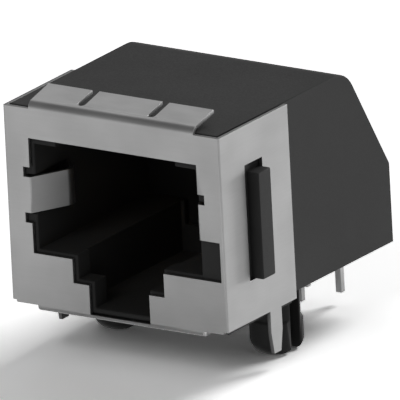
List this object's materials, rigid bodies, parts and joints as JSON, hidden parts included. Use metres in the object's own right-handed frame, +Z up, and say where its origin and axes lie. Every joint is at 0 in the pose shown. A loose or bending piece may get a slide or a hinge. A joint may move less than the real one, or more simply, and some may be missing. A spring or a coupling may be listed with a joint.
{
  "type": "rj45 board jack",
  "caption": "Side-entry modular jack for a circuit board: black housing with a sloped back, folded metal shield, spring contacts, snap pegs and solder tails.",
  "frame": {"origin": "halfway between the two board pegs' axes, on the board's face", "axes": "+X to the right seen from the plug side, +Y away from the plug, +Z up out of the board"},
  "size_m": [0.0174, 0.019, 0.0175],
  "materials": {
    "housing_plastic": "black moulded thermoplastic, fine matte",
    "insert_plastic": "black moulded thermoplastic, fine matte",
    "shield_sheet": "nickel-plated sheet, dull",
    "contact_wire": "phosphor bronze wire, gold over nickel at the plug end, tinned at the tail"
  },
  "bodies": {
    "root": {"housing": "housing_plastic", "contact_insert": "insert_plastic", "shield": "shield_sheet", "contact_1": "contact_wire", "contact_2": "contact_wire", "contact_3": "contact_wire", "contact_4": "contact_wire", "contact_5": "contact_wire", "contact_6": "contact_wire", "contact_7": "contact_wire", "contact_8": "contact_wire"}
  },
  "joints": []
}
